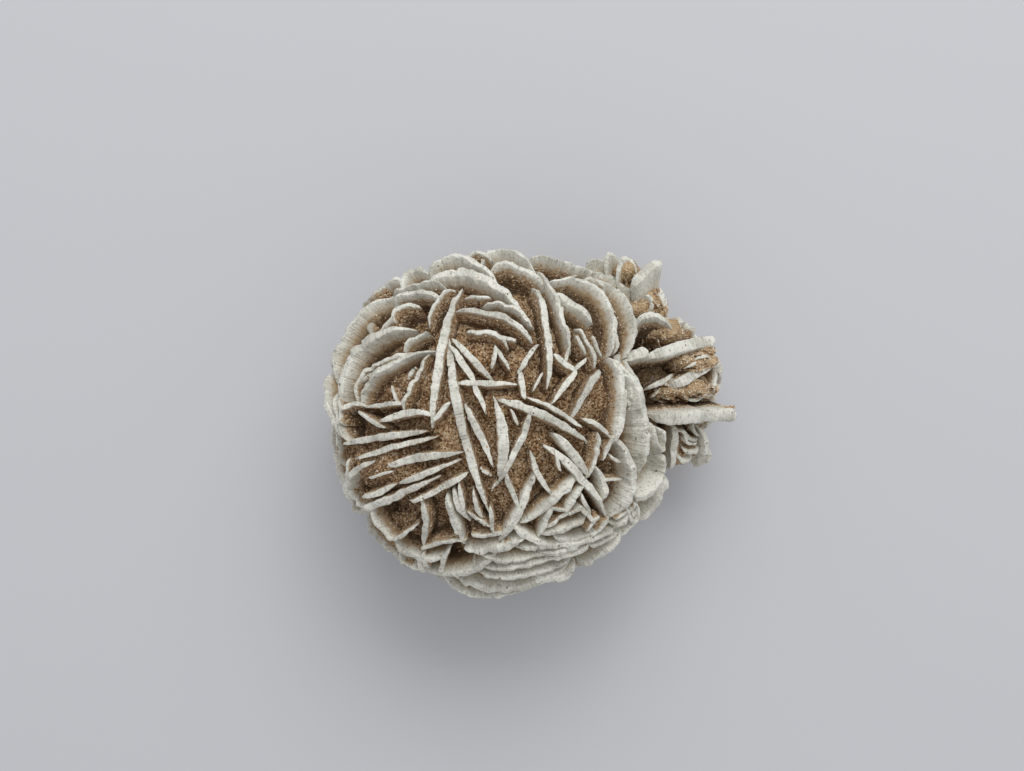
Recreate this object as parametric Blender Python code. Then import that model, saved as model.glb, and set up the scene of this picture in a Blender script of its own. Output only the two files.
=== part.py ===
"""A desert rose: thin gypsum blades growing outward from two centres, set in sand.

Sizes are in millimetres and are turned into metres at the end. While the rose is being
built, the origin is the centre of its large ball of blades, with +Z up.
"""

import math
import random

import bmesh
import bpy
import numpy as np

# ---- driving dimensions, in millimetres ----
BALL_RADIUS = 30.5  # the large ball, out to the rims of its blades
BALL_HEIGHT = 24.0  # from the ball's centre up to its highest rims
SAND_BELOW_RIM = 4.7  # how far the sand filling lies below the rims at the outline
SAND_BELOW_CROWN = 2.7  # the same on top
FOOT_BELOW = 20.0  # the worn flat underside, below the ball's centre
BLADE_DEPTH = 9.0  # how far a blade reaches down from its rim
TIP_DROP = 2.6  # how far a blade's two tips run down from its middle
LOWEST_RIM = -1.5  # rims that run outside the ball stay at this height
BALL_ROOT = (0.0, 0.0, -3.0)  # the point that the ball's blades grow away from
SIDE_ROOT = (24.0, 6.5, -13.0)  # the same for the side cluster
SIDE_CENTRE = (25.5, 7.0, -6.0)  # the middle of the side cluster
SIDE_CORE = (25.5, 7.0, -7.3)  # its sandy core, and that core's radii
SIDE_RADII = (10.9, 10.1, 8.8)
BASE_CENTRE = (6.045, 0.093)  # middle of the outline, seen from above
SEED = 5  # for the lumps of the sandy cores
BALL_LOW_SEED = 3  # for the blades under the waist of the ball, and of the side cluster
SIDE_LOW_SEED = 4

# Blades read off the upper side of the ball, one per row: the rim's start, middle and end
# seen from above (x, y each), then the blade's thickness.
BALL_BLADES = [
    # left edge, and the upper left
    (-28.9, 7.4, -25.2, 17.3, -15.4, 25.4, 1.5),
    (-24.8, 19.8, -20.8, 23.6, -15.8, 25.0, 1.0),
    (-28.4, 9.4, -28.2, 3.9, -24.9, -3.1, 1.0),
    (-27.0, 6.2, -26.4, 1.6, -24.9, -2.6, 0.7),
    (-14.6, 16.6, -23.8, 13.0, -25.6, 2.2, 1.5),
    (-23.0, 4.1, -20.5, 9.4, -12.7, 12.2, 0.7),
    (-22.2, 3.6, -18.9, 9.1, -9.9, 12.4, 1.5),
    (-17.4, 20.7, -13.3, 21.9, -9.0, 21.2, 0.9),
    (-16.9, 17.6, -16.1, 19.4, -13.2, 20.1, 0.9),
    (-17.8, 22.3, -13.4, 23.3, -8.7, 23.8, 1.0),
    (-15.8, 23.4, -14.8, 26.0, -11.6, 26.4, 1.2),
    # along the top edge
    (-12.2, 26.1, -6.4, 28.7, 0.5, 24.1, 1.3),
    (-12.0, 24.2, -3.7, 25.5, 4.7, 18.9, 1.6),
    (-1.9, 19.6, 2.2, 19.6, 5.8, 16.6, 1.0),
    (-6.6, 19.0, 0.4, 17.9, 5.9, 13.9, 1.2),
    (-4.5, 15.3, -0.8, 15.1, 1.9, 12.9, 0.9),
    (-5.4, 23.0, -8.6, 12.6, -10.2, 0.3, 1.4),
    (-6.9, 22.7, -9.1, 20.2, -10.9, 16.7, 0.9),
    (-2.8, 27.5, 1.6, 29.4, 7.1, 25.4, 1.4),
    (-5.4, 28.0, -3.2, 28.7, -0.9, 27.9, 0.9),
    (-0.9, 26.6, 3.8, 26.2, 8.5, 23.1, 1.2),
    (7.1, 25.8, 10.3, 19.3, 12.1, 12.0, 1.1),
    (9.6, 21.9, 12.7, 19.9, 15.7, 17.3, 1.4),
    (8.3, 24.6, 17.1, 22.1, 20.1, 12.9, 1.2),
    (13.1, 25.1, 21.1, 22.1, 23.4, 12.6, 1.3),
    (10.2, 27.1, 18.9, 26.2, 25.6, 18.6, 1.5),
    (4.2, 27.9, 7.9, 28.0, 11.0, 26.3, 1.4),
    (12.9, 15.8, 15.0, 13.7, 15.9, 10.0, 0.7),
    # the crown
    (-7.7, 14.3, -5.3, 0.3, -1.2, -13.6, 1.9),
    (-7.5, 13.2, -5.2, 10.0, -3.2, 7.0, 1.2),
    (-7.0, 14.1, -4.0, 11.0, -0.6, 7.8, 1.2),
    (-6.0, 7.2, -2.0, 7.1, 3.2, 7.0, 1.1),
    (-4.9, 3.8, -2.8, -0.4, -0.5, -6.1, 1.2),
    (-0.3, 5.0, 1.0, -1.0, 0.5, -7.6, 1.9),
    (5.5, 2.7, 3.6, -2.6, 0.3, -9.3, 1.3),
    (0.4, 4.5, 8.0, 1.6, 14.8, -2.3, 1.5),
    (5.0, 4.9, 9.5, 2.6, 13.8, 0.1, 0.8),
    (6.0, 22.9, 8.3, 16.5, 8.5, 6.8, 1.4),
    (12.9, 9.3, 11.0, 6.8, 8.9, 3.8, 1.0),
    (16.9, 9.4, 15.0, 6.3, 12.3, 1.4, 1.4),
    (6.8, 13.2, 5.2, 11.4, 3.6, 8.9, 0.9),
    (9.4, 11.6, 11.1, 10.3, 12.9, 8.9, 0.9),
    # left of the crown, and the lower left
    (-25.9, 2.0, -24.3, 3.4, -21.5, 3.4, 0.9),
    (-21.2, 3.2, -18.0, 3.5, -14.8, 3.7, 0.7),
    (-19.0, 0.9, -14.0, 2.3, -10.0, 2.0, 1.1),
    (-11.0, 11.6, -13.6, 6.8, -15.1, 2.4, 0.8),
    (-25.5, -3.0, -19.0, -1.5, -11.5, -0.6, 1.3),
    (-23.6, -5.4, -17.0, -3.3, -9.8, -1.5, 0.9),
    (-18.1, -6.3, -11.5, -4.8, -5.3, -4.0, 1.4),
    (-19.0, -5.0, -23.3, -6.4, -25.0, -10.4, 0.8),
    (-22.4, -11.8, -19.5, -10.6, -16.5, -9.4, 1.0),
    (-22.9, -14.4, -16.6, -11.3, -9.3, -8.0, 1.5),
    (-15.8, -9.2, -12.0, -7.6, -6.0, -5.3, 1.1),
    (-14.1, -12.1, -9.5, -10.2, -4.7, -7.5, 1.1),
    (-12.2, -12.0, -11.5, -15.0, -12.0, -19.4, 1.3),
    (-17.0, -19.0, -15.0, -17.6, -12.8, -15.9, 0.7),
    (-20.6, -13.6, -19.2, -16.6, -17.0, -19.0, 0.8),
    # lower middle, and the nested rims of the lower edge
    (-7.9, -10.8, -6.9, -14.4, -5.2, -18.9, 1.4),
    (-6.8, -10.0, -5.9, -12.6, -4.3, -14.9, 1.0),
    (-3.6, -9.8, -3.1, -12.4, -2.3, -14.3, 0.8),
    (-3.7, -17.2, -1.5, -17.5, 1.0, -17.2, 0.7),
    (3.0, -15.9, 5.5, -17.8, 8.4, -19.1, 1.3),
    (1.7, -7.2, 2.4, -9.8, 3.4, -12.6, 1.0),
    (6.4, -7.4, 4.0, -12.5, 0.6, -18.8, 1.6),
    (-17.0, -19.0, -13.3, -21.4, -8.2, -21.1, 1.4),
    (-12.1, -20.0, -8.9, -18.7, -5.1, -18.2, 1.0),
    (-4.9, -19.9, -0.4, -19.6, 4.5, -17.9, 1.4),
    (-12.0, -24.1, -5.2, -23.9, 0.5, -20.1, 1.6),
    (-9.4, -24.0, -8.7, -21.9, -7.6, -20.0, 0.9),
    (-12.8, -21.2, -12.6, -22.7, -11.2, -24.3, 0.9),
    (-16.1, -20.6, -14.8, -22.9, -12.0, -23.5, 0.9),
    (3.5, -20.1, 11.7, -19.1, 20.7, -17.1, 1.1),
    (7.1, -20.6, 10.9, -20.1, 14.8, -18.5, 0.8),
    (-2.3, -20.9, 3.0, -21.7, 8.7, -20.8, 0.8),
    (8.1, -21.4, 12.3, -20.8, 16.3, -18.7, 0.9),
    (-3.8, -22.6, 3.5, -23.3, 14.0, -19.9, 0.9),
    (-4.0, -23.3, 3.6, -25.1, 14.5, -21.8, 0.9),
    (-7.9, -24.8, 1.1, -27.6, 13.8, -23.0, 1.5),
    (-9.7, -25.4, -1.8, -29.2, 8.4, -25.5, 1.3),
    (6.3, -25.8, 10.8, -25.7, 13.5, -23.5, 1.2),
    (14.2, -23.3, 17.7, -21.3, 21.1, -17.7, 1.2),
    (15.4, -19.5, 17.9, -19.1, 20.5, -17.7, 0.9),
    # lower right
    (5.5, -3.8, 6.6, -7.3, 9.1, -10.9, 1.0),
    (9.3, -1.0, 12.0, -3.9, 15.0, -7.8, 1.5),
    (8.0, -3.0, 13.6, -7.8, 18.6, -15.6, 1.4),
    (13.9, 1.4, 16.2, 0.5, 18.4, -1.6, 0.8),
    (18.9, 11.4, 20.4, 5.4, 19.0, -2.9, 1.2),
    (16.4, -1.0, 16.1, -4.0, 14.9, -7.8, 0.8),
    (12.9, -8.0, 9.3, -11.4, 4.3, -15.4, 1.3),
    (14.3, -9.3, 12.4, -11.2, 11.2, -13.5, 1.0),
    (6.9, -17.4, 7.9, -14.8, 9.0, -12.8, 0.9),
    (7.2, -17.4, 11.0, -16.6, 14.6, -14.8, 1.1),
    (15.9, -6.2, 17.3, -9.0, 17.4, -12.1, 1.1),
    (9.6, -18.0, 14.0, -18.4, 18.2, -16.0, 1.2),
    (19.4, -16.4, 21.4, -15.2, 22.8, -12.8, 0.9),
    (20.4, -18.4, 22.6, -16.6, 24.0, -13.4, 1.0),
    # the large petals of the right edge
    (19.8, 11.3, 24.2, 4.1, 26.5, -6.1, 2.2),
    (26.0, 0.5, 26.4, -2.2, 27.8, -4.6, 0.8),
    (19.2, -1.3, 23.0, -8.3, 19.4, -15.5, 1.5),
    (26.2, -3.6, 30.3, -9.2, 21.7, -13.5, 1.3),
    (29.9, -7.5, 28.2, -12.6, 22.8, -17.1, 1.3),
]

# Blades of the side cluster and of the outer edge beside it: the rim's start, middle and
# end (x, y, z each), then the blade's thickness.
SIDE_BLADES = [
    (19.6, 11.6, 10.5, 29.2, 12.5, 6.5, 37.4, 14.1, 1.2, 2.1),
    (24.9, 1.0, 8.0, 32.7, 1.2, 5.0, 40.9, 1.4, 1.0, 2.1),
    (28.6, 6.2, 4.4, 33.0, 8.1, 4.6, 37.2, 10.6, 1.6, 1.6),
    (24.8, 5.8, 5.0, 27.4, 7.0, 4.9, 29.8, 8.5, 3.6, 0.9),
    (30.2, 5.7, 3.4, 33.6, 5.3, 3.2, 36.8, 4.5, 1.0, 0.8),
    (22.6, 23.8, 1.5, 25.2, 26.2, 1.0, 27.9, 28.0, -0.6, 1.9),
    (20.0, 24.8, 0.5, 20.9, 28.8, -0.5, 24.0, 26.2, -1.0, 1.0),
    (14.8, 27.2, -1.0, 16.9, 28.2, -1.5, 19.0, 27.4, -1.5, 1.0),
    (18.5, 26.0, -0.5, 19.0, 28.9, -1.0, 20.7, 28.2, -1.2, 0.9),
    (22.6, 17.2, 7.4, 26.8, 19.0, 5.0, 30.0, 16.4, 1.6, 1.4),
    (29.0, 16.8, 0.6, 30.1, 15.2, 0.2, 30.9, 13.6, -0.5, 0.9),
    (27.4, 23.9, -2.0, 28.7, 21.0, -2.2, 29.2, 18.0, -3.0, 1.3),
    (29.4, -0.4, 3.6, 31.2, -3.2, 2.6, 30.0, -8.2, -0.6, 1.0),
    (34.0, -0.2, 1.0, 35.8, -3.4, -0.6, 35.2, -6.0, -2.6, 1.0),
    (30.6, -5.0, -1.0, 32.4, -6.7, -1.4, 33.8, -5.2, -2.4, 0.9),
    (34.0, -5.0, -5.0, 37.1, -5.4, -5.6, 35.4, -8.0, -6.4, 1.3),
]


def unit(v):
    return v / np.linalg.norm(v)


def dome_height(x, y):
    """Height of the ball's rims over a point of its plan."""
    inside = 1.0 - (x * x + y * y) / BALL_RADIUS**2
    if inside > 0.03:
        return BALL_HEIGHT * math.sqrt(inside)
    return max(LOWEST_RIM, BALL_HEIGHT * (0.173 + 3.2 * (inside - 0.03)))


def through(start, middle, end, s):
    """The curve through three points, at s = -1, 0 and 1."""
    low = 0.5 * s * (s - 1.0)
    high = 0.5 * s * (s + 1.0)
    return low * start + (1.0 - s * s) * middle + high * end


def blade_sections(rim, root, thickness, depth, steps, blunt=False):
    """Rings of four points across a blade, from one tip to the other.

    A blunt blade keeps its thickness up to its far end.
    """
    rings = []
    for i in range(steps + 1):
        s = -1.0 + 2.0 * i / steps
        point = rim(s)
        along = unit(rim(min(1.0, s + 0.05)) - rim(max(-1.0, s - 0.05)))
        inward = unit(root - point)
        across = unit(np.cross(along, inward))
        fade = 0.0 if blunt and s > 0.0 else abs(s) ** 3
        half = 0.5 * thickness * (1.0 - fade) + 0.18
        foot = point + depth * inward
        rings.append(
            [
                point + half * across,
                foot + (0.8 * half + 0.1) * across,
                foot - (0.8 * half + 0.1) * across,
                point - half * across,
            ]
        )
    return rings


def add_blade(bm, rings):
    """Skin the rings of one blade and close both ends.

    Both faces of a blade are split along matching diagonals, so that a thin, curved
    blade never crosses itself.
    """
    loops = [[bm.verts.new(p) for p in ring] for ring in rings]
    faces = [bm.faces.new(loops[0]), bm.faces.new(loops[-1][::-1])]
    for a, b in zip(loops, loops[1:]):
        faces.append(bm.faces.new([a[0], a[1], b[1]]))
        faces.append(bm.faces.new([a[0], b[1], b[0]]))
        faces.append(bm.faces.new([a[1], a[2], b[2], b[1]]))
        faces.append(bm.faces.new([a[3], b[2], a[2]]))
        faces.append(bm.faces.new([a[3], b[3], b[2]]))
        faces.append(bm.faces.new([a[3], a[0], b[0], b[3]]))
    bmesh.ops.recalc_face_normals(bm, faces=faces)


def ball_rim(row):
    """The rim of a blade of the ball, laid over the ball's dome."""
    a, m, b = (np.array(row[k : k + 2]) for k in (0, 2, 4))
    drop = TIP_DROP * min(1.0, np.linalg.norm(b - a) / 14.0)

    def rim(s):
        x, y = through(a, m, b, s)
        return np.array((x, y, dome_height(x, y) - drop * abs(s) ** 3))

    return rim


def side_rim(row):
    a, m, b = (np.array(row[k : k + 3]) for k in (0, 3, 6))
    return lambda s: through(a, m, b, s)


def lower_blades(seed, centre, radii, count, heights, length, away, thickness):
    """Rims spread over the lower part of one body: three points and a thickness each."""
    rng = random.Random(seed)
    turn = math.pi * (3.0 - math.sqrt(5.0))
    made = []
    for i in range(count):
        z = heights[0] + (heights[1] - heights[0]) * (i + 0.5) / count
        angle = i * turn + rng.uniform(-0.2, 0.2)
        tilt = rng.uniform(0.0, math.pi)
        reach = 0.5 * rng.uniform(*length)
        bends = (rng.uniform(-0.10, 0.10), 0.0, rng.uniform(-0.10, 0.10))
        thick = rng.uniform(*thickness)
        shrink = 1.0 if rng.random() < 0.6 else 0.95
        out = np.array((math.cos(angle), math.sin(angle), 0.0))
        if out @ unit(np.array(away)) > 0.62:
            continue
        rise = z / radii[2]
        middle = out * math.sqrt(max(0.05, 1.0 - rise * rise)) + np.array((0.0, 0.0, rise))
        side = np.cross((0.0, 0.0, 1.0), out)
        line = math.cos(tilt) * side + math.sin(tilt) * np.cross(side, middle)
        rim = []
        for s, bend in zip((-1.0, 0.0, 1.0), bends):
            spread = middle + line * s * reach / radii[0] + np.cross(line, middle) * bend
            rim.append(np.array(centre) + shrink * unit(spread) * np.array(radii))
        made.append((rim, thick))
    return made


def core(name, centre, radii, detail, rough, rng, waist=0.0):
    """A closed lump of sand and gypsum, drawn in by waist over its lower half."""
    bm = bmesh.new()
    bmesh.ops.create_icosphere(bm, subdivisions=detail, radius=1.0)
    for v in bm.verts:
        spot = np.array(v.co) * np.array(radii)
        spot *= 1.0 + rng.uniform(-rough, rough) / radii[0]
        if spot[2] < 0.0:
            spot[:2] *= 1.0 - waist * min(1.0, -spot[2] / (0.5 * radii[2]))
        v.co = np.array(centre) + spot
    return as_object(name, bm)


def as_object(name, bm):
    mesh = bpy.data.meshes.new(name)
    bm.to_mesh(mesh)
    bm.free()
    made = bpy.data.objects.new(name, mesh)
    bpy.context.scene.collection.objects.link(made)
    return made


def set_aside(helper):
    helper.hide_render = True
    helper.display_type = "WIRE"


def keep_outer_skin(bm):
    """Fill any pocket closed off between blade roots, by dropping its inner skin."""
    left = set(bm.faces)
    skins = []
    while left:
        skin = [left.pop()]
        for face in skin:
            for edge in face.edges:
                for other in edge.link_faces:
                    if other in left:
                        left.remove(other)
                        skin.append(other)
        skins.append(skin)
    skins.sort(key=len)
    for skin in skins[:-1]:
        print("dropped a skin of", len(skin), "faces")
        bmesh.ops.delete(bm, geom=skin, context="FACES")


def mineral(name, colour, roughness):
    made = bpy.data.materials.new(name)
    made.use_nodes = True
    shader = made.node_tree.nodes["Principled BSDF"]
    shader.inputs["Base Color"].default_value = (*colour, 1.0)
    shader.inputs["Roughness"].default_value = roughness
    made.diffuse_color = (*colour, 1.0)
    return made


# ---- clear the scene ----
for old in list(bpy.data.objects):
    bpy.data.objects.remove(old, do_unlink=True)

rng = random.Random(SEED)

# ---- the two sandy cores ----
inner = BALL_RADIUS - SAND_BELOW_RIM
rose = core("sand_rose", (0.0, 0.0, 0.0), (inner, inner, BALL_HEIGHT - SAND_BELOW_CROWN), 3,
            0.5, rng, waist=0.09)
side_core = core("side_core", SIDE_CORE, SIDE_RADII, 3, 0.45, rng, waist=0.06)
# the sandy mass between the side plates, and the lumps around the cluster
mass = core("mass", (31.0, 6.6, -2.9), (6.4, 3.2, 5.6), 2, 0.3, rng)
chunk = core("chunk", (22.0, 25.4, -2.8), (2.9, 2.9, 3.0), 2, 0.3, rng)
lobe = core("lobe", (24.9, 19.0, -4.0), (4.5, 5.2, 4.8), 2, 0.4, rng)
tail = core("tail", (31.0, -2.2, -5.0), (4.4, 4.4, 4.8), 2, 0.4, rng)

# ---- the blades, each its own closed solid ----
ball_root = np.array(BALL_ROOT)
side_root = np.array(SIDE_ROOT)
side_heart = np.array(SIDE_CENTRE)
parts = [side_core, mass, chunk, lobe, tail]
blades = []
for row in BALL_BLADES:
    blades.append((ball_rim(row), ball_root, row[6], BLADE_DEPTH))
for row in SIDE_BLADES:
    blades.append((side_rim(row), side_root, row[9], BLADE_DEPTH))
read = len(blades)
low = lower_blades(BALL_LOW_SEED, (0.0, 0.0, 0.0), (28.3, 28.3, 25.5), 72, (0.0, -20.5),
                   (9.0, 15.0), (26.0, 7.0, 0.0), (1.0, 1.7))
low_side = lower_blades(SIDE_LOW_SEED, SIDE_CENTRE, (13.6, 13.0, 12.6), 30, (2.0, -11.0),
                        (6.0, 11.0), (-26.0, -4.0, 0.0), (1.0, 1.7))
for points, thick in low:
    blades.append((lambda s, p=points: through(p[0], p[1], p[2], s), ball_root, thick, 9.0))
for points, thick in low_side:
    blades.append((lambda s, p=points: through(p[0], p[1], p[2], s), side_heart, thick, 5.0))
for i, (rim, root, thick, depth) in enumerate(blades):
    blunt = root is side_root and thick >= 1.4
    length = np.linalg.norm(rim(1.0) - rim(-1.0))
    steps = 2 if length < 7.0 or i >= read else (3 if length < 13.0 else 4)
    bm = bmesh.new()
    add_blade(bm, blade_sections(rim, root, thick, depth, steps, blunt))
    parts.append(as_object(f"blade_{i:03d}", bm))

# ---- join everything into one grown body ----
grown = bpy.data.collections.new("grown")
bpy.context.scene.collection.children.link(grown)
for helper in parts:
    bpy.context.scene.collection.objects.unlink(helper)
    grown.objects.link(helper)
    set_aside(helper)
join = rose.modifiers.new("join", "BOOLEAN")
join.operation = "UNION"
join.solver = "EXACT"
join.operand_type = "COLLECTION"
join.collection = grown

# ---- wear the underside flat ----
bm = bmesh.new()
bmesh.ops.create_cube(bm, size=1.0)
bmesh.ops.scale(bm, vec=(140.0, 140.0, 30.0), verts=bm.verts)
bmesh.ops.translate(bm, vec=(0.0, 0.0, -FOOT_BELOW - 15.0), verts=bm.verts)
worn = as_object("worn_away", bm)
set_aside(worn)
cut = rose.modifiers.new("wear", "BOOLEAN")
cut.operation = "DIFFERENCE"
cut.solver = "EXACT"
cut.object = worn

# ---- metres, with the origin under the middle of the outline ----
graph = bpy.context.evaluated_depsgraph_get()
solid = bpy.data.meshes.new_from_object(rose.evaluated_get(graph))
rose.modifiers.clear()
bm = bmesh.new()
bm.from_mesh(solid)
bmesh.ops.translate(bm, vec=(-BASE_CENTRE[0], -BASE_CENTRE[1], FOOT_BELOW), verts=bm.verts)
bmesh.ops.scale(bm, vec=(0.001, 0.001, 0.001), verts=bm.verts)
bmesh.ops.triangulate(bm, faces=bm.faces)
keep_outer_skin(bm)
bm.to_mesh(rose.data)
bm.free()
for helper in parts + [worn]:
    bpy.data.objects.remove(helper, do_unlink=True)
rose.data.materials.clear()
rose.data.materials.append(mineral("gypsum", (0.62, 0.55, 0.45), 0.85))
span = np.array([v.co for v in rose.data.vertices]) * 1000.0
print("low", span.min(axis=0).round(3), "high", span.max(axis=0).round(3))
print("triangles", len(rose.data.polygons))
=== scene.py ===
# %% [markdown]
# # A desert rose
#
# A desert rose is a lump of gypsum that grew in wet sand. Its crystals are thin blades that
# start from a common centre and cut through each other, so only their rims show, like the
# edges of petals. Sand fills the space between them. This lesson builds one about 70 mm long
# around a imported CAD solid: the blades, the sand between them, and the loose grains on top.
#
# The first cell loads the CAD solid. It says where everything goes, and nothing here is
# measured again.

# %% load the frame
import math
import random

import bmesh
import bpy
import numpy as np
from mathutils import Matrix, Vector


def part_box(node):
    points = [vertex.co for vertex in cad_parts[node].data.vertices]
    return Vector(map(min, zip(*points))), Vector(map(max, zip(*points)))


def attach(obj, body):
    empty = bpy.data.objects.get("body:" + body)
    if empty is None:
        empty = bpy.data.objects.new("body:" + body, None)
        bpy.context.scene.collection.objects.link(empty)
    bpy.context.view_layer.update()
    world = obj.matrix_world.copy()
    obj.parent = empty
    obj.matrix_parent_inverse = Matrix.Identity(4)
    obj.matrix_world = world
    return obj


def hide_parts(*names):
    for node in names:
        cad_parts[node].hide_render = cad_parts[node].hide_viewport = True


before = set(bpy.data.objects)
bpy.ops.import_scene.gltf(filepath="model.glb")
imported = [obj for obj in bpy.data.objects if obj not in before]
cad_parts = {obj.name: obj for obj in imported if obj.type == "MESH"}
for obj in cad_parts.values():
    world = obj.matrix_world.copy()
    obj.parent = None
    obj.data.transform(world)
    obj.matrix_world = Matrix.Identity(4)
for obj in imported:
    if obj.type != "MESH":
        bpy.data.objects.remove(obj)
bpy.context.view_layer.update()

ROSE_LOW, ROSE_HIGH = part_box("sand_rose")

# %% [markdown]
# ## A place for the work
#
# All shapes are worked out in millimetres, from the middle of the large ball of blades, with
# Z up. One function turns them into the frame's metres. The middle of the ball lies 6 mm to
# the left of the middle of the whole rose, and 20 mm above the foot that it stands on.

# %% millimetres to metres
MM = 0.001
FOOT_BELOW = 20.0  # the worn flat foot, below the ball's middle
BALL_RADIUS = 30.5  # out to the rims of its blades
BALL_HEIGHT = 24.0  # up to its highest rims
BALL_ROOT = np.array((0.0, 0.0, -3.0))  # the point that the ball's blades grow away from
SIDE_ROOT = np.array((24.0, 6.5, -13.0))  # the same for the side cluster
SIDE_CENTRE = np.array((25.5, 7.0, -6.0))  # the middle of the side cluster
OUTLINE_MIDDLE = np.array((6.045, 0.093))  # the middle of the whole rose, seen from above
BALL_CENTRE = np.array(
    (
        0.5 * (ROSE_LOW[0] + ROSE_HIGH[0]) - OUTLINE_MIDDLE[0] * MM,
        0.5 * (ROSE_LOW[1] + ROSE_HIGH[1]) - OUTLINE_MIDDLE[1] * MM,
        ROSE_LOW[2] + FOOT_BELOW * MM,
    )
)


def to_frame(points):
    """Millimetres from the ball's middle, turned into the frame's metres."""
    return np.asarray(points) * MM + BALL_CENTRE


print("ball centre", BALL_CENTRE.round(5))

# %% [markdown]
# ## Roughness you can repeat
#
# Natural edges are never straight. A field of soft random numbers bends them: it is a block
# of random values, read between its points with a smooth blend, so that near places get near
# values. The block comes from a fixed seed, so the rose is the same on every run.

# %% a smooth random field
FIELD_SIDE = 48
FIELD = np.random.default_rng(41).uniform(-1.0, 1.0, (FIELD_SIDE,) * 3)


def field(points, size, shift=0.0):
    """Soft random numbers in -1 to 1, with bumps of about the given size."""
    place = np.asarray(points, float) / size + shift
    base = np.floor(place).astype(int)
    part = place - base
    part = part * part * (3.0 - 2.0 * part)
    total = np.zeros(len(place))
    for dx in (0, 1):
        for dy in (0, 1):
            for dz in (0, 1):
                weight = np.abs(1 - dx - part[:, 0])
                weight = weight * np.abs(1 - dy - part[:, 1])
                weight = weight * np.abs(1 - dz - part[:, 2])
                spot = (base + (dx, dy, dz)) % FIELD_SIDE
                total += weight * FIELD[spot[:, 0], spot[:, 1], spot[:, 2]]
    return total


def rough(points, layers):
    """Several fields added up; each layer is (height, size of its bumps, shift)."""
    return sum(height * field(points, size, shift) for height, size, shift in layers)


def unit(vectors):
    return vectors / np.linalg.norm(vectors, axis=-1, keepdims=True)


print("field runs from", FIELD.min().round(2), "to", FIELD.max().round(2))

# %% [markdown]
# ## Where the blades are
#
# Each row is one blade of the ball: where its rim starts, its middle and its end, seen from
# above, how thick it is, and how far down its faces are washed free of sand. The rim is laid
# over the ball's dome, so a rim near the outline leans outward as a petal does.

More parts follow.
